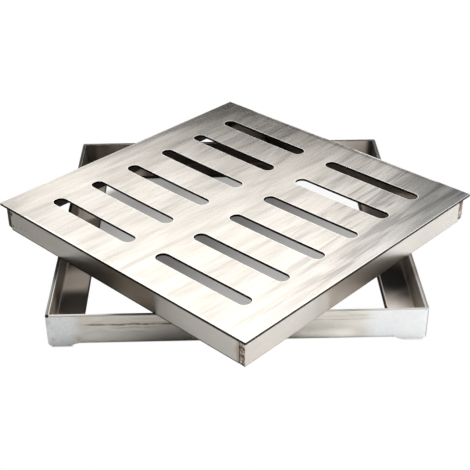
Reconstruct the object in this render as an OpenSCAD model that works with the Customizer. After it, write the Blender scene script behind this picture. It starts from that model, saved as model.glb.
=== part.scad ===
// Square floor drain: a folded sheet frame with a loose slotted cover that
// lies across its rim, turned by an eighth of a turn.
// The origin is on the floor, under the middle of the cover. +Z is up, -Y is
// the front.

/* [Cover plate] */
// Side of the square cover plate
plate_w = 150; // [140:1:160]
// Thickness of the cover plate
plate_t = 1.2; // [0.8:0.1:2]
// Length of a slot, over its round ends
slot_l = 51.8; // [40:0.2:56]
// Width of a slot
slot_w = 6.4; // [4:0.2:9]
// Number of slots in each of the two columns
slot_rows = 6; // [4:1:6]
// Distance from one slot to the next in a column, centre to centre
slot_pitch = 22.2; // [14:0.2:23]
// Distance between the middles of the two columns
slot_columns = 67; // [62:0.5:68]

/* [Cover skirt] */
// Height of the strips under the plate
skirt_h = 12.1; // [8:0.1:16]
// Thickness of the strips
skirt_t = 1.5; // [1:0.1:2]
// How far the plate stands out past the strips
skirt_inset = 1.9; // [1:0.1:4]
// Rounding of the strips' lower corners at the left and right corners
skirt_corner_r = 1.8; // [0.5:0.1:3]
// Width of the weld seam at the front corner
weld_front = 1.5; // [0.6:0.1:2]
// Width of the weld seam at the right corner
weld_right = 1.3; // [0.6:0.1:2]
// Width of the weld seams at the left and back corners
weld_narrow = 0.7; // [0.4:0.1:1.2]
// How far a weld bead stands proud of the strips
weld_crown = 0.25; // [0.1:0.05:0.4]

/* [Frame] */
// Outer width of the square frame
frame_w = 154; // [145:1:165]
// Height of the rim above the floor
frame_h = 14.4; // [12:0.1:18]
// Thickness of the frame's sheet
frame_t = 1.5; // [1:0.1:2]
// Width of the inward ledge, from the wall's outer face
ledge_w = 13; // [9:0.5:18]
// Inside radius of the fold between wall and ledge
fold_r = 1; // [0.5:0.1:1.5]
// Height of the slope between a wall's straight end and its fold
foot_rise = 1.2; // [0.6:0.1:1.6]
// Length of that slope at the left ends
foot_slope_left = 4.2; // [1:0.1:5]
// Length of that slope at the right ends
foot_slope_right = 2.1; // [1:0.1:5]
// Height of the cut on a foot's outer corner
foot_cut_h = 1.1; // [0.4:0.1:2]
// Width of the cut on the outer corner of the left feet
foot_cut_left = 1; // [0.4:0.1:1.2]
// Width of the cut on the outer corner of the right feet
foot_cut_right = 1.8; // [0.4:0.1:2.4]
// Outer rounding of the vertical corner welds
corner_r = 1.1; // [0.3:0.1:1.4]
// How far the front left corner weld stops short of the rim
crater = 0.4; // [0.2:0.1:3]
// Gap between the ledges where two strips meet
seam = 0.2; // [0.1:0.05:0.4]

/* [Where the cover lies] */
// Turn of the cover on the frame, in degrees
cover_turn = -44.8; // [-46:0.1:-44]
// Middle of the frame to the right of the middle of the cover
frame_x = -1.35; // [-4:0.05:4]
// Middle of the frame behind the middle of the cover
frame_y = 7.5; // [0:0.1:10]

/* [Hidden] */
$fn = 64;

half = plate_w / 2;
out = half - skirt_inset;      // outer face of the skirt, from the middle
inn = out - skirt_t;           // inner face of the skirt
skirt_z = frame_h;             // the skirt's lower edge lies on the rim
plate_z = skirt_z + skirt_h;   // the plate's underside

fh = frame_w / 2;              // outer face of the frame
fi = fh - frame_t;             // inner face of the frame's walls
ro = fold_r + frame_t;         // outside radius of the fold

plate_colour = [0.86, 0.85, 0.82];
skirt_colour = [0.74, 0.73, 0.70];
weld_colour = [0.45, 0.36, 0.30];
frame_colour = [0.80, 0.79, 0.77];

// Puts the cover's pieces where the cover lies.
module on_cover() {
    rotate([0, 0, cover_turn]) children();
}

// Puts the frame's pieces where the frame stands.
module on_frame() {
    translate([frame_x, frame_y, 0]) children();
}

// One round-ended slot, flat.
module slot_outline(l, w) {
    square([l - w, w], center = true);
    for (s = [-1, 1]) translate([s * (l - w) / 2, 0]) circle(d = w);
}

module cover_plate() {
    color(plate_colour) on_cover() translate([0, 0, plate_z])
        linear_extrude(plate_t) difference() {
            square(plate_w, center = true);
            for (c = [-1, 1], r = [0 : slot_rows - 1])
                translate([c * slot_columns / 2,
                           (r - (slot_rows - 1) / 2) * slot_pitch])
                    slot_outline(slot_l, slot_w);
        }
}

// A strip's outline seen from outside, from u = a to u = b, with its lower
// corners rounded by ra and rb. A radius of 0 leaves the corner square.
module strip_outline(a, b, h, ra, rb) {
    difference() {
        translate([a, 0]) square([b - a, h]);
        if (ra > 0) difference() {
            translate([a - 1, -1]) square([ra + 1, ra + 1]);
            translate([a + ra, ra]) circle(ra);
        }
        if (rb > 0) difference() {
            translate([b - rb, -1]) square([rb + 1, rb + 1]);
            translate([b - rb, rb]) circle(rb);
        }
    }
}

// A skirt strip on the side whose outer face points along -Y, turned by
// quarter turns to the other sides.
module skirt_strip(quarter, a, b, ra, rb) {
    color(skirt_colour) on_cover() rotate([0, 0, 90 * quarter])
        translate([0, -inn, skirt_z]) rotate([90, 0, 0])
            linear_extrude(skirt_t) strip_outline(a, b, skirt_h, ra, rb);
}

// The strip at the front left lies between its two neighbours.
module skirt_front_left() {
    skirt_strip(0, -inn + weld_narrow, inn - weld_front, 0, 0);
}

module skirt_front_right() {
    skirt_strip(1, -out, inn - weld_right, 0, 0);
}

module skirt_back_right() {
    skirt_strip(2, -out, out, skirt_corner_r, 0);
}

module skirt_back_left() {
    skirt_strip(3, -inn + weld_narrow, out, 0, skirt_corner_r);
}

// The section of a weld bead that fills a seam of width w: a square root as
// deep as the strip is thick, and a round crown outside it.
module bead_section(w, crown) {
    r = (w * w / 4 + crown * crown) / (2 * crown);
    translate([0, -skirt_t]) square([w, skirt_t]);
    intersection() {
        translate([w / 2, crown - r]) circle(r);
        translate([0, -skirt_t / 2]) square([w, skirt_t / 2 + crown + 1]);
    }
}

// A bead on the side that faces -Y, with its seam starting at x = a.
module bead(quarter, a, w, lift, drop, crown) {
    rotate([0, 0, 90 * quarter]) translate([a + w, -out, skirt_z + lift])
        rotate([0, 0, 180])
            linear_extrude(skirt_h - lift - drop) bead_section(w, crown);
}

module skirt_corner_welds() {
    color(weld_colour) on_cover() {
        bead(0, inn - weld_front, weld_front, 0.4, 0, weld_crown);
        bead(1, inn - weld_right, weld_right, 0.6, 0, weld_crown);
        bead(0, -inn, weld_narrow, 0.6, 0, weld_crown / 2);
        bead(3, -inn, weld_narrow, 0.6, 0, weld_crown);
    }
}

// The folded section, with the wall's outer face at u = 0 and the ledge
// running along +u.
module fold_section() {
    difference() {
        union() {
            translate([0, ro]) square([ledge_w, frame_h - ro]);
            translate([ro, 0]) square([ledge_w - ro, frame_h]);
            translate([ro, ro]) circle(ro);
        }
        translate([frame_t, ro]) square([ledge_w, frame_h]);
        translate([ro, frame_t]) square([ledge_w, frame_h]);
        translate([ro, ro]) circle(fold_r);
    }
}

// A folded strip along X whose wall faces -Y, of the stated half length.
module folded(half_l) {
    rotate([90, 0, 90]) translate([-fh, 0, -half_l])
        linear_extrude(2 * half_l) fold_section();
}

// One end of a front or back strip, seen from outside: the wall without its
// ledge, which was not folded and so reaches straight down to the floor.
module foot_outline(cut_w, slope) {
    a = fh - ledge_w;
    e = fi - max(0.1, cut_w - frame_t);
    polygon([
        [a - 0.5, frame_h], [a - 0.5, ro + 0.5],
        [a - seam, foot_rise], [a + slope, 0],
        [e, 0],
        [fi, cut_w > frame_t ? foot_cut_h * (cut_w - frame_t) / cut_w : 0.1],
        [fi, frame_h]
    ]);
}

// A front strip: folded between the side ledges, with a straight foot at
// each end.
module end_strip() {
    folded(fh - ledge_w - seam);
    for (s = [0, 1]) mirror([s, 0, 0])
        translate([0, -fi, 0]) rotate([90, 0, 0]) linear_extrude(frame_t)
            foot_outline(s == 1 ? foot_cut_left : foot_cut_right,
                         s == 1 ? foot_slope_left : foot_slope_right);
}

module frame_front_strip() {
    color(frame_colour) on_frame() end_strip();
}

module frame_back_strip() {
    color(frame_colour) on_frame() mirror([0, 1, 0]) end_strip();
}

module frame_left_strip() {
    color(frame_colour) on_frame() rotate([0, 0, -90]) folded(fi);
}

module frame_right_strip() {
    color(frame_colour) on_frame() rotate([0, 0, 90]) folded(fi);
}

// The weld that fills a corner between two walls, rounded outside and cut
// at its foot. It stops short of the rim by the given drop.
module corner_weld(cut_w, drop) {
    z0 = cut_w > frame_t ? foot_cut_h * (cut_w - frame_t) / cut_w : 0.1;
    difference() {
        translate([fi, -fh, z0]) linear_extrude(frame_h - z0 - drop)
            difference() {
                square(frame_t);
                translate([frame_t - corner_r, -1])
                    difference() {
                        square([corner_r + 1, corner_r + 1]);
                        translate([0, corner_r + 1]) circle(corner_r);
                    }
            }
        translate([fh - cut_w, -fh - 1, 0])
            rotate([0, -atan(foot_cut_h / cut_w), 0])
                translate([-1, 0, -5]) cube([8, frame_t + 2, 5]);
    }
}

module frame_corner_welds() {
    color(weld_colour) on_frame() {
        mirror([1, 0, 0]) corner_weld(foot_cut_left, crater);
        corner_weld(foot_cut_right, 0);
        mirror([0, 1, 0]) mirror([1, 0, 0]) corner_weld(foot_cut_left, 0);
        mirror([0, 1, 0]) corner_weld(foot_cut_right, 0);
    }
}

cover_plate();
skirt_front_left();
skirt_front_right();
skirt_back_right();
skirt_back_left();
skirt_corner_welds();
frame_front_strip();
frame_back_strip();
frame_left_strip();
frame_right_strip();
frame_corner_welds();
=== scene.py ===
import bpy, bmesh, math, random
from mathutils import Matrix, Vector, noise


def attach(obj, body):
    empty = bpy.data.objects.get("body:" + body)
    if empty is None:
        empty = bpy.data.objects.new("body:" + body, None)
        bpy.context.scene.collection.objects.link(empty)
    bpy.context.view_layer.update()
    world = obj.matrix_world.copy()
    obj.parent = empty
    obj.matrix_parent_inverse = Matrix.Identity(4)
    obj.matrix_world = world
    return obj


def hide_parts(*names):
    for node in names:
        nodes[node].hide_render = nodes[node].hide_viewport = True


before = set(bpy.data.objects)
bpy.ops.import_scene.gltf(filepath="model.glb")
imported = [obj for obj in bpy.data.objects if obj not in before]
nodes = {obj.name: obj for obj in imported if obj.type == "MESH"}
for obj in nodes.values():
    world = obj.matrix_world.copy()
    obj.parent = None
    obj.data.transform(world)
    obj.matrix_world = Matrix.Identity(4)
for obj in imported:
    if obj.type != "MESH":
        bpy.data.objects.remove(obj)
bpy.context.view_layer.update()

sc = bpy.context.scene
MM = 0.001

# Sizes that the frame was packed with, in millimetres.
PLATE_W, PLATE_T = 150.0, 1.2
SLOT_L, SLOT_W, SLOT_PITCH, SLOT_COLS = 51.8, 6.4, 22.2, 67.0
SKIRT_H, SKIRT_T, SKIRT_IN = 12.1, 1.5, 1.9
FRAME_W, FRAME_H, FRAME_T = 154.0, 14.4, 1.5
TURN = math.radians(-44.8)
FX, FY = -1.35, 7.5
ALONG = Vector((math.cos(TURN), math.sin(TURN), 0))        # along the slots
GRAIN = Vector((-math.sin(TURN), math.cos(TURN), 0))       # along the grain


def link(o):
    sc.collection.objects.link(o)
    return o


# ------------------------------------------------------------------ camera
cam_data = bpy.data.cameras.new("camera")
cam = link(bpy.data.objects.new("camera", cam_data))
c_right = Vector((0.99964505, -0.02622557, -0.00468953))
c_down = Vector((-0.01774302, -0.52405305, -0.85150078))
c_fwd = Vector((0.01987353, 0.85128175, -0.52433236))
c_rot = Matrix((c_right, -c_down, -c_fwd)).transposed()
cam.matrix_world = Matrix.Translation((-0.00995683, -0.39771730, 0.25332487)) @ c_rot.to_4x4()
cam_data.lens = 77.64
cam_data.sensor_width = 36.0
cam_data.clip_start = 0.01
cam_data.clip_end = 50.0
sc.camera = cam

# ------------------------------------------------------------ studio light
# A white sweep to the eye, a dim room to the metal, and a few soft boxes.
world = bpy.data.worlds.new("studio")
sc.world = world
world.use_nodes = True
wt = world.node_tree
bg = wt.nodes["Background"]
bg.inputs["Color"].default_value = (1.0, 0.985, 0.96, 1)
path = wt.nodes.new("ShaderNodeLightPath")
seen = wt.nodes.new("ShaderNodeMapRange")
seen.inputs["To Min"].default_value = 0.06
seen.inputs["To Max"].default_value = 1.0
wt.links.new(path.outputs["Is Camera Ray"], seen.inputs["Value"])
wt.links.new(seen.outputs[0], bg.inputs["Strength"])


WARM = (1.0, 0.982, 0.955)


def softbox(name, at, look, size, radiance, spin=0.0, tint=(1, 1, 1), glint=True):
    ld = bpy.data.lights.new(name, "AREA")
    ld.shape = "RECTANGLE"
    ld.size, ld.size_y = size
    ld.energy = math.pi * size[0] * size[1] * radiance
    ld.color = tint
    o = link(bpy.data.objects.new(name, ld))
    d = Vector(look) - Vector(at)
    q = d.to_track_quat("-Z", "Y").to_matrix().to_4x4()
    o.matrix_world = Matrix.Translation(at) @ q @ Matrix.Rotation(math.radians(spin), 4, "Z")
    o.visible_camera = False
    o.visible_glossy = glint
    return o


softbox("box_over", (-0.047, 0.066, 0.110), (-0.047, 0.0661, 0.0), (0.1945, 0.250), 1.57, -8.1, WARM)
softbox("box_over_mid", (0.0716, 0.0491, 0.110), (0.0716, 0.0492, 0.0), (0.045, 0.250), 1.32, -8.1, WARM)
softbox("box_over_right", (0.1211, 0.0420, 0.110), (0.1211, 0.0421, 0.0), (0.055, 0.250), 0.50, -8.1, WARM)
softbox("box_right", (0.50, -0.12, 0.17), (0, 0, 0.02), (0.45, 0.30), 5.6, glint=False)
softbox("box_top_front", (0.22, -0.22, 0.32), (0.22, -0.2199, 0.0), (0.35, 0.35), 3.1, glint=False)
softbox("box_top", (0.10, -0.10, 0.40), (0.10, -0.0999, 0.0), (0.25, 0.25), 2.3, glint=False)
softbox("box_top_right", (0.35, -0.05, 0.30), (0.35, -0.0499, 0.0), (0.30, 0.30), 2.9)
softbox("box_top_back", (0.0, 0.30, 0.50), (0.0, 0.3001, 0.0), (0.40, 0.40), 0.40)
sc.view_settings.view_transform = "Standard"


# --------------------------------------------------------------- materials
class Mat:
    """A small helper that strings shader nodes together."""

    def __init__(self, name):
        self.m = bpy.data.materials.new(name)
        self.m.use_nodes = True
        self.t = self.m.node_tree
        self.b = self.t.nodes["Principled BSDF"]
        self.p = self.n("ShaderNodeTexCoord").outputs["Object"]

    def n(self, kind, **k):
        d = self.t.nodes.new(kind)
        for a, v in k.items():
            setattr(d, a, v)
        return d

    def put(self, sock, v):
        if isinstance(v, bpy.types.NodeSocket):
            self.t.links.new(v, sock)
        else:
            sock.default_value = v

    def math(self, op, *a, clamp=False):
        d = self.n("ShaderNodeMath", operation=op, use_clamp=clamp)
        for i, v in enumerate(a):
            self.put(d.inputs[i], v)
        return d.outputs[0]

    def mul(self, a, b):
        return self.math("MULTIPLY", a, b)

    def add(self, a, b):
        return self.math("ADD", a, b)

    def sub(self, a, b):
        return self.math("SUBTRACT", a, b)

    def dot(self, v):
        d = self.n("ShaderNodeVectorMath", operation="DOT_PRODUCT")
        self.put(d.inputs[0], self.p)
        d.inputs[1].default_value = v
        return d.outputs["Value"]

    def vec(self, x, y, z):
        d = self.n("ShaderNodeCombineXYZ")
        for i, v in enumerate((x, y, z)):
            self.put(d.inputs[i], v)
        return d.outputs[0]

    def scaled(self, u, v, w, a, b, c):
        return self.vec(self.mul(u, a), self.mul(v, b), self.mul(w, c))

    def noise(self, v, scale=1.0, detail=2.0, rough=0.5, dist=0.0):
        d = self.n("ShaderNodeTexNoise")
        self.put(d.inputs["Vector"], v)
        d.inputs["Scale"].default_value = scale
        d.inputs["Detail"].default_value = detail
        d.inputs["Roughness"].default_value = rough
        d.inputs["Distortion"].default_value = dist
        return d.outputs["Fac"]

    def ramp(self, v, a, b, lo=0.0, hi=1.0, smooth=True):
        d = self.n("ShaderNodeMapRange", interpolation_type="SMOOTHSTEP" if smooth else "LINEAR")
        for i, x in enumerate((v, a, b, lo, hi)):
            self.put(d.inputs[i], x)
        return d.outputs[0]

    def mix(self, f, a, b):
        d = self.n("ShaderNodeMix", data_type="RGBA")
        self.put(d.inputs[0], f)
        self.put(d.inputs[6], a if isinstance(a, bpy.types.NodeSocket) else (*a, 1))
        self.put(d.inputs[7], b if isinstance(b, bpy.types.NodeSocket) else (*b, 1))
        return d.outputs[2]

    def blend(self, f, a, b):
        return self.add(a, self.mul(f, self.sub(b, a)))

    def bump(self, h, dist, normal=None):
        d = self.n("ShaderNodeBump")
        self.put(d.inputs["Height"], h)
        d.inputs["Strength"].default_value = 1.0
        d.inputs["Distance"].default_value = dist
        if normal is not None:
            self.put(d.inputs["Normal"], normal)
        return d.outputs[0]

    def set(self, name, v):
        self.put(self.b.inputs[name], v)

    def axes(self):
        """Along the slots, along the grain, and up."""
        return self.dot(ALONG), self.dot(GRAIN), self.dot((0, 0, 1))

    def spot(self, x, y, z, r0, r1):
        """1 within r0 of a point, in millimetres, falling to 0 at r1."""
        d = self.n("ShaderNodeVectorMath", operation="DISTANCE")
        self.put(d.inputs[0], self.p)
        d.inputs[1].default_value = (x * MM, y * MM, z * MM)
        return self.ramp(d.outputs["Value"], r0 * MM, r1 * MM, 1.0, 0.0)

    def up(self):
        g = self.n("ShaderNodeNewGeometry")
        s = self.n("ShaderNodeSeparateXYZ")
        self.t.links.new(g.outputs["True Normal"], s.inputs[0])
        return s.outputs[2]


def brushed_plate():
    m = Mat("brushed_plate")
    u, v, z = m.axes()
    fine = m.noise(m.scaled(u, v, z, 1500, 16, 600), detail=2.0, rough=0.6)
    streak = m.noise(m.scaled(u, v, z, 400, 16, 200), detail=2.0, rough=0.5, dist=0.4)
    cloud = m.noise(m.scaled(u, v, z, 160, 24, 60), detail=3.0, rough=0.55, dist=0.8)
    broad = m.noise(m.scaled(u, v, z, 62, 22, 20), detail=2.0, rough=0.5, dist=0.3)
    top = m.math("MAXIMUM", m.ramp(m.up(), 0.45, 0.8), m.ramp(m.up(), -0.95, -0.99))
    # distance to the outline of the nearest slot, and to the plate's edge
    au = m.math("ABSOLUTE", m.sub(m.math("ABSOLUTE", u), SLOT_COLS / 2 * MM))
    du = m.math("MAXIMUM", m.sub(au, (SLOT_L - SLOT_W) / 2 * MM), 0.0)
    dv = m.math("ABSOLUTE", m.sub(m.math("WRAP", v, SLOT_PITCH * MM, 0.0), SLOT_PITCH / 2 * MM))
    sd = m.sub(m.math("SQRT", m.add(m.mul(du, du), m.mul(dv, dv))), SLOT_W / 2 * MM)
    ed = m.sub(PLATE_W / 2 * MM, m.math("MAXIMUM", m.math("ABSOLUTE", u), m.math("ABSOLUTE", v)))
    rim = m.math("MAXIMUM", m.ramp(sd, 0.1 * MM, 0.4 * MM, 1, 0), m.ramp(ed, 0.1 * MM, 0.4 * MM, 1, 0))
    rim = m.mul(rim, top)
    grain = m.add(m.mul(m.sub(fine, 0.5), 0.30), m.mul(m.sub(streak, 0.5), 0.60))
    tone = m.add(m.add(m.mul(m.sub(cloud, 0.5), 1.9), m.mul(m.sub(broad, 0.5), 1.0)), grain)
    f = m.math("ADD", tone, 0.5, clamp=True)
    face = m.mix(f, (0.51, 0.482, 0.446), (0.77, 0.745, 0.71))
    face = m.mix(m.ramp(broad, 0.45, 0.75, 0, 0.35), face, (0.66, 0.61, 0.55))
    # towards the right corner the steel is cooler and its darker and lighter streaks show more strongly: painted shade
    # and painted highlight standing in for the darker reflection there
    corner = m.ramp(m.add(u, m.mul(v, 0.45)), 55 * MM, 105 * MM)
    face = m.mix(m.mul(corner, 0.55), face, (0.60, 0.625, 0.64))
    band = m.noise(m.scaled(u, v, z, 300, 26, 60), detail=2.0, rough=0.5, dist=0.5)
    reach = m.ramp(m.add(u, m.mul(v, 0.8)), 5 * MM, 95 * MM, 0.12, 0.85)
    face = m.mix(m.mul(reach, m.ramp(band, 0.50, 0.64, 0, 0.75)), face, (0.27, 0.265, 0.26))
    face = m.mix(m.mul(reach, m.ramp(band, 0.46, 0.34, 0, 0.6)), face, (0.84, 0.825, 0.80))
    # painted highlight: a light band along the top edges of the slots and of the plate; the band is also made less
    # metallic and smoother further down
    face = m.mix(m.mul(rim, 0.8), face, (0.88, 0.87, 0.85))
    burn = m.noise(m.scaled(u, v, z, 700, 700, 500), detail=2.0)
    cut = m.mix(burn, (0.012, 0.010, 0.008), (0.055, 0.046, 0.038))
    m.set("Base Color", m.mix(top, cut, face))
    m.set("Metallic", m.sub(1.0, m.mul(rim, 0.45)))
    r = m.add(0.27, m.mul(m.sub(cloud, 0.5), 0.10))
    r = m.add(r, m.mul(m.sub(streak, 0.5), 0.08))
    r = m.blend(rim, r, 0.22)
    m.set("Roughness", m.blend(top, 0.46, r))
    m.set("Anisotropic", 0.76)
    m.set("Tangent", m.vec(*ALONG))
    # the waviness of the sheet dies out at its cut edges
    calm = m.math("MULTIPLY", m.ramp(sd, 0.2 * MM, 3.0 * MM), m.ramp(ed, 0.2 * MM, 3.0 * MM))
    wave = m.bump(m.mul(m.sub(cloud, 0.5), calm), 0.007 * MM)
    wave = m.bump(m.mul(m.sub(broad, 0.5), calm), 0.035 * MM, wave)
    wave = m.bump(m.mul(m.sub(streak, 0.5), calm), 0.0012 * MM, wave)
    m.set("Normal", m.bump(m.mul(m.sub(fine, 0.5), calm), 0.0002 * MM, wave))
    return m


def skirt_steel():
    m = Mat("skirt_steel")
    u, v, z = m.axes()
    line = m.noise(m.scaled(u, v, z, 40, 40, 2600), detail=2.0, rough=0.6)
    cloud = m.noise(m.scaled(u, v, z, 75, 75, 190), detail=3.0, rough=0.55, dist=0.5)
    hue = m.noise(m.scaled(u, v, z, 130, 130, 210), detail=1.0)
    col = m.mix(cloud, (0.50, 0.475, 0.44), (0.66, 0.635, 0.60))
    col = m.mix(m.ramp(hue, 0.5, 0.8, 0, 0.5), col, (0.62, 0.56, 0.51))
    # straw and brown heat tint beside the corner welds
    hot = None
    for (x, y, r) in ((70.6, -73.1, 2.8), (73.1, 71.4, 2.6), (-73.1, 71.3, 3.0)):
        cx = x * ALONG.x + y * GRAIN.x
        cy = x * ALONG.y + y * GRAIN.y
        d = m.n("ShaderNodeVectorMath", operation="DISTANCE")
        m.put(d.inputs[0], m.vec(m.dot((1, 0, 0)), m.dot((0, 1, 0)), 0.0))
        d.inputs[1].default_value = (cx * MM, cy * MM, 0)
        w = m.add(d.outputs["Value"], m.mul(m.sub(hue, 0.5), 2.0 * MM))
        s = m.ramp(w, 0.8 * MM, r * MM, 1, 0)
        hot = s if hot is None else m.math("MAXIMUM", hot, s)
    col = m.mix(m.mul(hot, 0.75), col, (0.40, 0.31, 0.245))
    # painted shade: a dim band along the lower edge and a near black line on the front left strip where the skirt meets
    # the rim, and a painted shadow line under the plate
    lower_edge_shade = m.ramp(z, (FRAME_H + 0.05) * MM, (FRAME_H + 0.8) * MM, 1, 0)
    high = m.ramp(z, (FRAME_H + SKIRT_H - 2.5) * MM, (FRAME_H + SKIRT_H - 1.2) * MM, 0, 1)
    col = m.mix(m.mul(lower_edge_shade, 0.45), col, (0.30, 0.27, 0.24))
    col = m.mix(m.mul(m.mul(lower_edge_shade, 0.9), m.ramp(v, -72.7 * MM, -72.9 * MM)), col, (0.035, 0.03, 0.024))
    col = m.mix(m.mul(high, 0.75), col, (0.10, 0.088, 0.075))
    # a few pits and spatter specks
    vor = m.n("ShaderNodeTexVoronoi", feature="F1")
    m.put(vor.inputs["Vector"], m.p)
    vor.inputs["Scale"].default_value = 210
    speck = m.ramp(vor.outputs["Distance"], 0.035, 0.085, 1, 0)
    pick = m.ramp(m.noise(m.p, 55, 1.0), 0.60, 0.66)
    speck = m.mul(speck, pick)
    col = m.mix(m.mul(speck, 0.7), col, (0.12, 0.095, 0.075))
    for (x, y, z0, r) in ((-96.5, -7.2, 18.2, 0.5), (-94.3, -9.3, 18.4, 0.4), (-101.3, -2.4, 23.0, 1.5),
                          (-101.0, -2.7, 16.9, 0.8), (-99.4, -4.2, 17.1, 0.5), (-88.0, -15.4, 18.9, 0.4)):
        col = m.mix(m.mul(m.spot(x, y, z0, 0.3 * r, r), 0.95), col, (0.04, 0.028, 0.02))
    # painted shade: the front right strip darkens towards its right end, where it mirrors the dark inside of the frame
    right_end_shade = m.mul(m.ramp(u, 72.9 * MM, 73.0 * MM), m.ramp(v, 5 * MM, 45 * MM, 0, 0.4))
    col = m.mix(right_end_shade, col, (0.36, 0.35, 0.335))
    # the sheared end of the back left strip, at the left corner, is dark
    end = m.mul(m.ramp(u, -71.45 * MM, -71.6 * MM), m.ramp(v, -72.8 * MM, -73.0 * MM))
    col = m.mix(m.mul(end, 0.95), col, (0.018, 0.016, 0.014))
    # inside, the strips keep the brown of the welding, painted near black as shade under the plate and lighter towards
    # the right as painted light
    far = m.math("MAXIMUM", m.math("ABSOLUTE", u), m.math("ABSOLUTE", v))
    inside_film_and_shade = m.mix(cloud, (0.03, 0.025, 0.020), (0.14, 0.12, 0.10))
    inside_film_and_shade = m.mix(m.ramp(u, -40 * MM, 10 * MM), inside_film_and_shade, m.mix(cloud, (0.09, 0.078, 0.064), (0.30, 0.27, 0.23)))
    col = m.mix(m.ramp(far, 72.4 * MM, 72.7 * MM, 1, 0), col, inside_film_and_shade)
    m.set("Base Color", col)
    m.set("Metallic", 1.0)
    r = m.add(0.31, m.mul(m.sub(cloud, 0.5), 0.10))
    m.set("Roughness", m.add(r, m.mul(hot, 0.10)))
    m.set("Anisotropic", 0.5)
    m.set("Tangent", m.vec(0, 0, 1))
    b = m.bump(cloud, 0.03 * MM)
    b = m.bump(line, 0.0016 * MM, b)
    m.set("Normal", m.bump(speck, -0.03 * MM, b))
    return m


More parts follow.
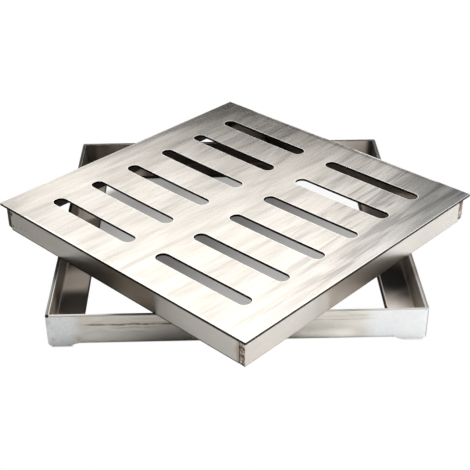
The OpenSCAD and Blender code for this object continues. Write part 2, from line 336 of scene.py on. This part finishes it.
def frame_steel(name, ground=False):
    m = Mat(name)
    x, y, z = (m.dot(a) for a in ((1, 0, 0), (0, 1, 0), (0, 0, 1)))
    ax = m.math("ABSOLUTE", m.sub(x, FX * MM))
    ay = m.math("ABSOLUTE", m.sub(y, FY * MM))
    far = m.math("MAXIMUM", ax, ay)
    near = m.math("MINIMUM", ax, ay)
    line = m.noise(m.scaled(x, y, z, 45, 45, 2400), detail=2.0, rough=0.6)
    cloud = m.noise(m.scaled(x, y, z, 60, 60, 140), detail=3.0, rough=0.55, dist=0.6)
    swirl = m.noise(m.p, 420, 3.0, 0.6, 1.2)
    col = m.mix(cloud, (0.52, 0.495, 0.455), (0.66, 0.64, 0.60))
    # drawn rub lines along the walls
    streak = m.noise(m.scaled(x, y, z, 9, 9, 420), detail=2.0, rough=0.5, dist=0.4)
    col = m.mix(m.ramp(streak, 0.60, 0.72, 0, 0.32), col, (0.36, 0.30, 0.25))
    # brown scratch across the left half of the front wall, and its companion
    wob = m.mul(m.sub(m.noise(m.vec(m.mul(x, 110), 0.0, 0.0), 1.0, 3.0), 0.5), 1.6 * MM)
    front = m.mul(m.ramp(y, -69.3 * MM, -69.0 * MM, 1, 0), 1.0)
    brk = m.ramp(m.noise(m.vec(m.mul(x, 160), 3.0, 0.0), 1.0, 2.0), 0.34, 0.60, 0.45, 1.0)
    for (zz, x0, x1, wdt, k) in ((10.1, -66, -20, 0.48, 1.0), (8.5, -56, -30, 0.24, 0.55), (6.2, -50, -34, 0.20, 0.35), (10.5, 22, 56, 0.24, 0.50)):
        d = m.math("ABSOLUTE", m.sub(m.sub(z, zz * MM), wob))
        s = m.ramp(d, 0.4 * wdt * MM, 1.6 * wdt * MM, 1, 0)
        s = m.mul(s, m.mul(m.ramp(x, x0 * MM, (x0 + 8) * MM), m.ramp(x, (x1 - 8) * MM, x1 * MM, 1, 0)))
        s = m.mul(m.mul(s, brk), front)
        col = m.mix(m.mul(s, k), col, (0.20, 0.14, 0.10))
    # painted shade, mottled, where the wall curves down above the left foot
    foot_bend_shade = m.mul(m.mul(m.spot(-68.2, -69.5, 2.4, 1.4, 5.4), m.ramp(swirl, 0.38, 0.58)), front)
    col = m.mix(m.mul(foot_bend_shade, 0.95), col, (0.32, 0.22, 0.16))
    # the front wall is painted near white near its bottom, right of the middle
    bottom_right_whitening = m.mul(m.mul(m.ramp(x, 16 * MM, 27 * MM), m.ramp(x, 50 * MM, 40 * MM)), m.mul(m.ramp(z, 7.0 * MM, 3.5 * MM), front))
    col = m.mix(m.mul(bottom_right_whitening, 0.95), col, (0.97, 0.94, 0.89))
    # soft stains: wider than high on the walls
    stain = m.noise(m.scaled(x, y, z, 55, 55, 210), detail=3.0, rough=0.6, dist=0.8)
    col = m.mix(m.ramp(stain, 0.52, 0.72, 0, 0.30), col, (0.33, 0.29, 0.245))
    col = m.mix(m.ramp(stain, 0.46, 0.30, 0, 0.35), col, (0.72, 0.70, 0.67))
    # inside the walls the sheet keeps a brown, blotchy film, painted darker than that as shade
    inner = m.mul(m.ramp(far, 75.9 * MM, 76.3 * MM, 1, 0), m.ramp(z, 14.1 * MM, 14.3 * MM, 1, 0))
    wide = m.noise(m.scaled(x, y, z, 42, 42, 42), detail=2.0, dist=0.6)
    inside_film_and_shade = m.mix(m.ramp(wide, 0.38, 0.62), (0.10, 0.082, 0.066), (0.40, 0.345, 0.29))
    wall = m.ramp(z, 2.2 * MM, 3.2 * MM)
    lines = m.noise(m.scaled(x, y, z, 7, 7, 620), detail=2.0, rough=0.6)
    gold = m.mix(m.ramp(lines, 0.38, 0.64), (0.08, 0.062, 0.046), (0.66, 0.56, 0.44))
    side = m.ramp(ax, 74.9 * MM, 75.2 * MM)
    inside_film_and_shade = m.mix(m.mul(m.mul(wall, side), m.ramp(x, -20 * MM, 20 * MM, 0.75, 0.35)), inside_film_and_shade, gold)
    # the inside of the back wall is lighter towards the right and darker towards the left
    back = m.ramp(y, 82.4 * MM, 82.8 * MM)
    inside_film_and_shade = m.mix(m.mul(back, m.ramp(x, 25 * MM, 42 * MM, 0, 0.85)), inside_film_and_shade, (0.66, 0.60, 0.54))
    inside_film_and_shade = m.mix(m.mul(back, m.ramp(x, -35 * MM, -45 * MM, 0, 0.6)), inside_film_and_shade, (0.10, 0.085, 0.068))
    # painted shade: near black on the back ledge behind the middle, on the left wall near the front and on the right
    # wall towards the back
    middle = m.mul(m.ramp(x, -50 * MM, -44 * MM), m.ramp(x, 38 * MM, 28 * MM))
    inside_film_and_shade = m.mix(m.mul(m.mul(middle, m.ramp(y, 66 * MM, 70 * MM)), 0.85), inside_film_and_shade, (0.028, 0.022, 0.018))
    inside_film_and_shade = m.mix(m.mul(m.mul(wall, m.ramp(x, -70 * MM, -73 * MM)), m.ramp(y, -56 * MM, -46 * MM, 0, 0.75)), inside_film_and_shade, (0.032, 0.026, 0.020))
    inside_film_and_shade = m.mix(m.mul(m.mul(wall, m.ramp(x, 70 * MM, 73 * MM)), m.ramp(y, 10 * MM, 30 * MM, 0, 0.95)), inside_film_and_shade, (0.03, 0.026, 0.022))
    # painted reflections: a light patch and a dark one on the left ledge, a grey one at its front, and a dark and a
    # light one on the right ledge
    for (px, py, r0, r1, c, k) in ((-72, -25, 5, 12, (0.84, 0.74, 0.65), 1.0), (-70, -43, 6, 14, (0.04, 0.034, 0.027), 0.95),
                                   (-70, -58, 2, 9, (0.26, 0.25, 0.21), 0.6),
                                   (66, -26, 6, 24, (0.016, 0.013, 0.011), 1.0), (63, -62, 8, 28, (0.74, 0.67, 0.61), 1.0)):
        ledge_reflection = m.mul(m.spot(px, py, 1.5, r0, r1), m.sub(1.0, m.ramp(z, 1.6 * MM, 2.4 * MM)))
        inside_film_and_shade = m.mix(m.mul(ledge_reflection, k), inside_film_and_shade, c)
    # the right wall's front end is dusty above its fold
    dust = m.mul(m.mul(m.ramp(x, 73.6 * MM, 73.9 * MM), m.ramp(y, -38 * MM, -50 * MM)), m.ramp(z, 3.5 * MM, 7 * MM))
    inside_film_and_shade = m.mix(m.mul(dust, 0.6), inside_film_and_shade, (0.36, 0.33, 0.285))
    # the cut faces of the ledges; a painted highlight along the right ledge's top inner edge, and one along the fold's
    # inner line
    lip = m.ramp(far, 64.5 * MM, 64.3 * MM)
    inside_film_and_shade = m.mix(lip, inside_film_and_shade, (0.018, 0.015, 0.012))
    crest_highlight = m.mul(m.mul(m.ramp(far, 64.5 * MM, 64.4 * MM), m.ramp(z, 1.25 * MM, 1.4 * MM)), m.mul(m.ramp(x, 50 * MM, 55 * MM), m.ramp(y, 10 * MM, 0.0)))
    inside_film_and_shade = m.mix(m.mul(crest_highlight, 0.8), inside_film_and_shade, (0.80, 0.78, 0.74))
    fold = m.mul(m.ramp(m.math("ABSOLUTE", m.sub(z, 2.0 * MM)), 0.1 * MM, 0.35 * MM, 1, 0), m.ramp(far, 74.6 * MM, 74.9 * MM))
    fold = m.mul(fold, m.ramp(y, 55 * MM, 65 * MM, 1, 0))
    inside_film_and_shade = m.mix(m.mul(fold, 0.7), inside_film_and_shade, (0.62, 0.56, 0.48))
    col = m.mix(inner, col, inside_film_and_shade)
    # the corners were welded, then rubbed bright: whiter, mottled and duller
    cz = m.add(m.add(near, m.mul(m.sub(cloud, 0.5), 12 * MM)), m.ramp(x, -20 * MM, 20 * MM, 0, 13 * MM))
    bright = m.mul(m.ramp(cz, 62 * MM, 69 * MM), m.ramp(far, 76.2 * MM, 76.6 * MM))
    shine = m.mix(m.ramp(swirl, 0.3, 0.7), (0.69, 0.71, 0.725), (0.79, 0.815, 0.83))
    cool = m.mix(m.ramp(swirl, 0.3, 0.7), (0.66, 0.68, 0.70), (0.70, 0.72, 0.74))
    shine = m.mix(m.ramp(x, -20 * MM, 20 * MM), shine, cool)
    col = m.mix(m.mul(bright, 0.88), col, shine)
    # small stains on the two ends of the front wall
    for (px, pz, r0, r1, k) in ((-76.0, 3.0, 0.4, 1.5, 0.35), (-78.0, 11.5, 0.8, 2.6, 0.45), (-75.8, 9.0, 0.3, 1.3, 0.25),
                                (62.5, 9.0, 0.5, 2.2, 0.12), (70.0, 11.0, 0.5, 2.4, 0.12)):
        col = m.mix(m.mul(m.mul(m.spot(px, -69.5, pz, r0, r1), m.ramp(swirl, 0.35, 0.6)), k), col, (0.30, 0.28, 0.26))
    # the sheared rim: a painted highlight along its inner edge, grey outside it
    top = m.mul(m.ramp(z, 14.15 * MM, 14.35 * MM), m.ramp(far, 74.9 * MM, 75.2 * MM))
    edge_highlight = m.ramp(far, 76.0 * MM, 76.35 * MM, 1, 0)
    rim = m.mix(edge_highlight, (0.34, 0.33, 0.315), (0.74, 0.73, 0.71))
    # painted shade on the left wall's rim: dark grey, with a light painted highlight along its inner edge
    leftside = m.ramp(x, -76.7 * MM, -76.9 * MM)
    dark = m.mix(m.ramp(far, 75.7 * MM, 75.9 * MM), (0.60, 0.585, 0.56), (0.10, 0.10, 0.092))
    dark = m.mix(m.ramp(far, 76.3 * MM, 76.6 * MM), dark, (0.21, 0.21, 0.20))
    rim = m.mix(leftside, rim, dark)
    frontside = m.ramp(y, -67.9 * MM, -68.1 * MM)
    # painted highlights: the front rim and the back rim are lighter towards the right
    rim = m.mix(m.mul(m.mul(frontside, m.sub(1.0, leftside)), m.ramp(x, -15 * MM, 30 * MM)), rim, (0.72, 0.71, 0.69))
    rim = m.mix(m.mul(m.ramp(y, 82.9 * MM, 83.1 * MM), m.ramp(x, -20 * MM, 20 * MM, 0, 0.9)), rim, (0.80, 0.79, 0.77))
    # painted shade: where the front rim meets the cover its inner half is black, where it mirrors the cover's dark
    # underside
    near_cover = m.mul(m.ramp(x, -57 * MM, -48 * MM), m.ramp(x, -30 * MM, -36 * MM))
    rim = m.mix(m.mul(m.mul(near_cover, frontside), m.ramp(far, 76.2 * MM, 76.5 * MM, 1, 0)), rim, (0.02, 0.017, 0.014))
    col = m.mix(m.mul(top, 0.9), col, rim)
    if ground:
        col = m.mix(m.ramp(swirl, 0.35, 0.7, 0, 0.8), col, (0.74, 0.74, 0.73))
        # the unfilled top of the front left corner
        pit = m.mul(m.spot(-77.3, -68.5, 14.0, 1.2, 1.6), m.ramp(m.up(), 0.3, 0.6))
        col = m.mix(pit, col, (0.02, 0.017, 0.014))
    turned = m.mul(m.mul(m.ramp(x, 74.9 * MM, 75.2 * MM), m.ramp(y, -69.2 * MM, -68.2 * MM, 1, 0)), m.ramp(z, 14.2 * MM, 14.0 * MM))
    col = m.mix(m.mul(turned, 0.9), col, (0.22, 0.225, 0.23))
    m.set("Base Color", col)
    # the brown film inside scatters more light than bare metal
    # the painted light patch on the right ledge, and the dust, are made less metallic so that the lamps light them
    diffuse_patch = m.mul(m.spot(63, -62, 1.5, 8, 28), m.sub(1.0, m.ramp(z, 1.6 * MM, 2.4 * MM)))
    diffuse_patch = m.math("MAXIMUM", diffuse_patch, m.mul(dust, 0.5))
    m.set("Metallic", m.blend(inner, 1.0, m.blend(diffuse_patch, 0.6, 0.1)))
    r = m.add(0.29, m.mul(m.sub(cloud, 0.5), 0.12))
    r = m.blend(bright, r, 0.42)
    r = m.blend(m.mul(top, frontside), r, 0.50)
    r = m.blend(inner, r, 0.44)
    m.set("Roughness", r)
    b = m.bump(cloud, 0.04 * MM)
    b = m.bump(m.mul(swirl, bright), 0.015 * MM, b)
    m.set("Normal", m.bump(line, 0.0015 * MM, b))
    return m


def weld_metal():
    m = Mat("weld_metal")
    u, v, z = m.axes()
    lump = m.noise(m.p, 1000, 3.0, 0.6, 0.6)
    big = m.noise(m.p, 420, 2.0, 0.5, 0.4)
    hue = m.noise(m.p, 240, 1.0)
    col = m.mix(m.ramp(lump, 0.35, 0.65), (0.13, 0.082, 0.060), (0.44, 0.36, 0.30))
    col = m.mix(m.ramp(big, 0.57, 0.68, 0, 0.6), col, (0.66, 0.63, 0.60))
    col = m.mix(m.ramp(big, 0.44, 0.36, 0, 0.9), col, (0.05, 0.028, 0.020))
    col = m.mix(m.ramp(hue, 0.52, 0.70, 0, 0.45), col, (0.24, 0.10, 0.055))
    # burnt edge along the front seam, spatter and clean spots on the bead
    seam = m.mul(m.ramp(m.math("ABSOLUTE", m.sub(u, 70.15 * MM)), 0.15 * MM, 0.55 * MM, 1, 0), m.ramp(v, -72.9 * MM, -73.0 * MM))
    col = m.mix(m.mul(seam, 0.85), col, (0.045, 0.022, 0.014))
    for (x, y, z0, r, c) in ((-1.9, -101.9, 22.0, 0.8, (0.05, 0.025, 0.018)), (-2.1, -101.7, 18.8, 0.9, (0.045, 0.022, 0.016)),
                             (-1.4, -102.1, 20.3, 0.45, (0.88, 0.87, 0.86)), (-0.9, -102.3, 16.1, 0.8, (0.70, 0.67, 0.63)),
                             (-0.4, -102.7, 19.2, 0.9, (0.10, 0.06, 0.045)), (-0.2, -102.9, 15.1, 0.7, (0.04, 0.03, 0.025)),
                             (101.9, -1.7, 24.4, 0.8, (0.10, 0.07, 0.055)), (101.3, -2.1, 20.6, 0.8, (0.045, 0.025, 0.02)),
                             (102.3, -1.0, 22.4, 0.6, (0.06, 0.035, 0.025)), (101.8, -1.6, 18.6, 0.6, (0.74, 0.71, 0.68)),
                             (101.5, -1.8, 16.8, 0.7, (0.05, 0.03, 0.024))):
        col = m.mix(m.mul(m.spot(x, y, z0, 0.35 * r, r), 0.85), col, c)
    # the bead at the right corner is greyer than the one in front
    grey = m.mix(m.ramp(big, 0.42, 0.60), (0.055, 0.045, 0.038), (0.44, 0.42, 0.39))
    col = m.mix(m.ramp(v, 40 * MM, 50 * MM, 0, 0.35), col, grey)
    # the top of the front seam was never reached by the torch
    cold = m.mul(m.ramp(z, 23.0 * MM, 23.4 * MM), m.ramp(v, -72.0 * MM, -72.5 * MM))
    col = m.mix(cold, col, m.mix(m.ramp(u, 70.2 * MM, 70.6 * MM), (0.07, 0.05, 0.04), (0.36, 0.37, 0.33)))
    # the narrow seam at the left corner is only a dark line
    col = m.mix(m.mul(m.ramp(u, -60 * MM, -65 * MM), 0.85), col, (0.05, 0.042, 0.036))
    m.set("Base Color", col)
    m.set("Metallic", 1.0)
    m.set("Roughness", m.ramp(lump, 0.3, 0.7, 0.30, 0.55))
    m.set("Normal", m.bump(lump, 0.05 * MM))
    return m


plate_mat = brushed_plate()
skirt_mat = skirt_steel()
steel = frame_steel("frame_steel")
ground_mat = frame_steel("frame_weld", True)
weld_mat = weld_metal()


def dress(o, m):
    o.data.materials.clear()
    o.data.materials.append(m.m)


for n, o in nodes.items():
    dress(o, skirt_mat if n.startswith("skirt") else ground_mat if n == "frame_corner_welds" else steel)
    if n != "skirt_corner_welds" and n != "cover_plate":
        bv = o.modifiers.new("edges", "BEVEL")
        bv.width = 0.2 * MM
        bv.segments = 2
        bv.limit_method = "ANGLE"
        bv.angle_limit = math.radians(50)
        o.data.shade_smooth()
        o.data.set_sharp_from_angle(angle=math.radians(35))


# ------------------------------------------------------------- cover plate
def ring(points, curve):
    s = curve.splines.new("POLY")
    s.points.add(len(points) - 1)
    for p, q in zip(s.points, points):
        p.co = (q[0], q[1], 0, 1)
    s.use_cyclic_u = True


def plate_mesh(edge=0.08 * MM):
    cu = bpy.data.curves.new("plate_outline", "CURVE")
    cu.dimensions = "2D"
    cu.fill_mode = "BOTH"
    h = PLATE_W / 2 * MM
    ring([(-h, -h), (h, -h), (h, h), (-h, h)], cu)
    r = SLOT_W / 2
    for c in (-1, 1):
        for k in range(6):
            cx, cy = c * SLOT_COLS / 2, (k - 2.5) * SLOT_PITCH
            pts = []
            for s, a0 in ((1, -90), (-1, 90)):
                for i in range(21):
                    a = math.radians(a0 + 9 * i)
                    pts.append(((cx + s * (SLOT_L / 2 - r) + r * math.cos(a)) * MM,
                                (cy + r * math.sin(a)) * MM))
            ring(pts, cu)
    cu.bevel_depth = edge
    cu.bevel_resolution = 2
    cu.offset = -edge
    cu.extrude = PLATE_T / 2 * MM - edge
    tmp = link(bpy.data.objects.new("plate_tmp", cu))
    bpy.context.view_layer.update()
    me = bpy.data.meshes.new_from_object(tmp.evaluated_get(bpy.context.evaluated_depsgraph_get()))
    bpy.data.objects.remove(tmp)
    bm = bmesh.new()
    bm.from_mesh(me)
    bmesh.ops.remove_doubles(bm, verts=bm.verts, dist=1e-6)
    cuts = [s * c for s in (-1, 1) for c in (73.9, 72.6, 71.7, 70.8, 69.6, 68.0, 66.0)] + [4.0 * i for i in range(-16, 17)]
    for axis in (0, 1):
        for cut in cuts:
            co = [0, 0, 0]
            no = [0, 0, 0]
            co[axis] = (cut + 0.0007) * MM
            no[axis] = 1
            bmesh.ops.bisect_plane(bm, geom=bm.verts[:] + bm.edges[:] + bm.faces[:],
                                   plane_co=co, plane_no=no, dist=1e-7)
    bmesh.ops.remove_doubles(bm, verts=bm.verts, dist=3e-6)
    # The sheet has drawn in between its welded edges: it is dished by a
    # millimetre, and stays flat only over the skirt.
    def fall(c):
        return max(0.0, 1 - min(1.0, abs(c) / (72.4 * MM)) ** 2.5)

    def slope(x, y):
        """The dish's own normal, so that the cut edges don't bend the light."""
        if max(abs(x), abs(y)) > 72.4 * MM:
            return Vector((0, 0, 1))
        k = 1.03 * 2.5 / 72.4
        gx = -k * math.copysign((abs(x) / (72.4 * MM)) ** 1.5, x) * fall(y)
        gy = -k * math.copysign((abs(y) / (72.4 * MM)) ** 1.5, y) * fall(x)
        return Vector((gx, gy, 1)).normalized()

    for v in bm.verts:
        v.co.z -= 1.03 * MM * fall(v.co.x) * fall(v.co.y)
    bmesh.ops.recalc_face_normals(bm, faces=bm.faces)
    bmesh.ops.triangulate(bm, faces=bm.faces[:])
    bmesh.ops.dissolve_degenerate(bm, edges=bm.edges[:], dist=1e-6)
    bmesh.ops.triangulate(bm, faces=bm.faces[:])
    bm.normal_update()
    turn = Matrix.Rotation(TURN, 4, "Z")
    soft = []
    for v in bm.verts:
        flat = [f.normal.z for f in v.link_faces if abs(f.normal.z) > 0.99]
        if flat:
            n = slope(v.co.x, v.co.y) * (1 if flat[0] > 0 else -1)
        else:
            n = Vector((0, 0, 0))
            for f in v.link_faces:
                n += f.normal * f.calc_area()
        soft.append((turn @ n).normalized())
    bm.to_mesh(me)
    bm.free()
    me.shade_smooth()
    me.transform(Matrix.Translation((0, 0, (FRAME_H + SKIRT_H + PLATE_T / 2) * MM)) @ turn)
    me.normals_split_custom_set_from_vertices(soft)
    return me


plate = link(bpy.data.objects.new("cover_plate_dished", plate_mesh()))
dress(plate, plate_mat)
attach(plate, "root")
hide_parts("cover_plate")

# ------------------------------------------------------------- weld beads
def loft(bm, rows, closed_ring):
    """Skin a stack of equal rings and cap both ends."""
    vs = [[bm.verts.new(p) for p in row] for row in rows]
    n = len(rows[0])
    for a, b in zip(vs, vs[1:]):
        for i in range(n if closed_ring else n - 1):
            j = (i + 1) % n
            bm.faces.new((a[i], a[j], b[j], b[i]))
    bm.faces.new(vs[0][::-1])
    bm.faces.new(vs[-1])


def bead(bm, face, t0, t1, s0, s1, z0, z1, crown, seed, ripple, ragged):
    """A rippled bead on one face of the skirt. It covers t0 to t1 along the
    face and fills the seam s0 to s1 behind it, all in millimetres."""
    out, side = face
    skin = PLATE_W / 2 - SKIRT_IN

    def at(t, d, z):
        return (out * ((skin + d) * MM) + side * (t * MM)) + Vector((0, 0, z * MM))

    steps = max(24, int((z1 - z0) / 0.09))
    rows, root = [], []
    for k in range(steps + 1):
        z = z0 + (z1 - z0) * k / steps
        cap = min(1.0, math.sqrt(max(0.0, min(k, steps - k) / steps * (z1 - z0) / 0.55)))
        wl = ragged * noise.noise(Vector((seed, z * 1.6, 0.3)))
        wr = ragged * noise.noise(Vector((seed + 9, z * 1.6, 0.7)))
        a = (t0 + t1) / 2 - ((t1 - t0) / 2 + wl) * (0.35 + 0.65 * cap)
        b = (t0 + t1) / 2 + ((t1 - t0) / 2 + wr) * (0.35 + 0.65 * cap)
        row = []
        m = 14
        for i in range(m + 1):
            q = i / m
            t = a + (b - a) * q
            arch = max(0.0, 1 - (2 * q - 1) ** 2) ** 0.6
            chev = z + 0.5 * (2 * q - 1) ** 2
            wave = 0.5 + 0.5 * math.cos(2 * math.pi * (chev / ripple + 0.25 * noise.noise(Vector((seed, z, 2)))))
            lump = 0.75 + 0.55 * noise.noise(Vector((t * 1.9, z * 1.7, seed)))
            h = crown * arch * (0.55 + 0.45 * wave) * lump * (0.2 + 0.8 * cap)
            row.append(at(t, min(crown * 1.2, h) + 0.012, z))
        row += [at(b, -0.05, z), at(a, -0.05, z)]
        rows.append(row)
    loft(bm, rows, True)
    for z in (z0 + 0.1, FRAME_H + SKIRT_H - 0.02):
        root.append([at(s0, 0.01, z), at(s1, 0.01, z), at(s1, -SKIRT_T, z), at(s0, -SKIRT_T, z)])
    loft(bm, root, True)


bm = bmesh.new()
FL, FR = (-GRAIN, ALONG), (ALONG, GRAIN)
BL = (-ALONG, GRAIN)
bead(bm, FL, 70.0, 72.95, 70.1, 71.6, 14.5, 23.3, 0.30, 3.1, 1.25, 0.30)
bead(bm, FR, 70.0, 72.9, 70.3, 71.6, 15.3, 26.3, 0.30, 7.7, 1.35, 0.45)
bead(bm, FL, -71.75, -70.85, -71.6, -70.9, 15.2, 26.0, 0.14, 12.4, 0.9, 0.15)
bead(bm, BL, 70.3, 72.4, 70.9, 71.6, 15.2, 26.0, 0.28, 17.9, 1.3, 0.35)
bmesh.ops.recalc_face_normals(bm, faces=bm.faces)
me = bpy.data.meshes.new("corner_beads")
bm.to_mesh(me)
bm.free()
me.shade_smooth()
me.set_sharp_from_angle(angle=math.radians(55))
beads = link(bpy.data.objects.new("corner_beads", me))
dress(beads, weld_mat)
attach(beads, "root")
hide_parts("skirt_corner_welds")

# ------------------------------------------------------------------- floor
me = bpy.data.meshes.new("floor")
S = 3.0
me.from_pydata([(-S, -S, 0), (S, -S, 0), (S, S, 0), (-S, S, 0)], [], [(0, 1, 2, 3)])
floor = link(bpy.data.objects.new("floor", me))
fm = Mat("floor")
pale = (0.82, 0.82, 0.81)
fm.set("Roughness", 0.7)
fm.set("Specular IOR Level", 0.2)
# A lit white sweep to the eye, except in the shade under the cover.
su = fm.math("ABSOLUTE", fm.sub(fm.dot(ALONG), 0.026 * ALONG.y))
sv = fm.math("ABSOLUTE", fm.sub(fm.dot(GRAIN), 0.026 * GRAIN.y))
open_air = fm.ramp(fm.math("MAXIMUM", su, sv), 0.064, 0.073)
open_air = fm.math("MAXIMUM", open_air, fm.ramp(fm.sub(fm.dot(GRAIN), 0.026 * GRAIN.y), 0.034, 0.040, 0.0, 0.90))
sx = fm.math("ABSOLUTE", fm.sub(fm.dot((1, 0, 0)), FX * MM))
sy = fm.math("ABSOLUTE", fm.sub(fm.dot((0, 1, 0)), FY * MM))
reach = fm.math("MAXIMUM", sx, sy)
# painted shade in the floor's own colour: darker to the left, darker in front of the cover's front corner, and dark
# grey under the cover
sweep = fm.mix(fm.ramp(fm.dot((1, 0, 0)), -0.13, -0.085), (0.50, 0.50, 0.49), pale)
shade = fm.mul(fm.ramp(reach, 0.077, 0.097, 1, 0), fm.ramp(fm.math("ABSOLUTE", fm.dot((1, 0, 0))), 0.028, 0.058, 1, 0))
beside = fm.mix(shade, sweep, (0.38, 0.37, 0.355))
open_air = fm.math("MAXIMUM", open_air, fm.ramp(reach, 0.0752, 0.0756))
fm.set("Base Color", fm.mix(open_air, (0.34, 0.34, 0.335), beside))
# the light that falls through each column of slots fades towards its left
fu = fm.dot(ALONG)
lit = fm.math("MAXIMUM",
              fm.mul(fm.ramp(fu, -0.026, 0.032, 0.03, 0.35), fm.ramp(fu, -0.031, -0.027)),
              fm.mul(fm.ramp(fu, -0.095, -0.036, 0.03, 0.36), fm.ramp(fu, -0.031, -0.027, 1, 0)))
open_air = fm.math("MAXIMUM", open_air, lit)
glow = fm.n("ShaderNodeEmission")
# a thin contact shadow along the frame, stronger at its left, and a near black painted shadow beside the right ledge's
# inner edge
feet = fm.ramp(sx, 0.0660, 0.0680)
touch = fm.mul(fm.mul(fm.ramp(reach, 0.0772, 0.0783, 1, 0), feet), fm.ramp(sx, 0.0751, 0.0757, 1, 0))
fold = fm.mul(fm.ramp(reach, 0.0754, 0.0759, 1, 0), fm.sub(1.0, feet))
touch = fm.mul(fm.math("MAXIMUM", touch, fm.mul(fold, 0.7)), fm.ramp(reach, 0.0655, 0.0660))
touch = fm.mul(touch, fm.ramp(fm.dot((1, 0, 0)), -0.060, 0.060, 0.85, 0.30))
under = fm.mul(fm.mul(fm.ramp(sx, 0.0630, 0.0634), fm.ramp(reach, 0.0650, 0.0646)), fm.ramp(fm.dot((1, 0, 0)), 0.050, 0.052))
tint = fm.mix(fm.ramp(open_air, 0.5, 0.8), (1.0, 0.975, 0.945), (1.0, 1.0, 1.0))
fm.put(glow.inputs["Color"], fm.mix(under, fm.mix(touch, tint, (0.16, 0.15, 0.13)), (0.012, 0.011, 0.009)))
lp = fm.n("ShaderNodeLightPath")
mx = fm.n("ShaderNodeMixShader")
fm.put(mx.inputs[0], fm.mul(lp.outputs["Is Camera Ray"], open_air))
fm.put(mx.inputs[1], fm.b.outputs[0])
fm.put(mx.inputs[2], glow.outputs[0])
fm.put(fm.t.nodes["Material Output"].inputs[0], mx.outputs[0])
dress(floor, fm)
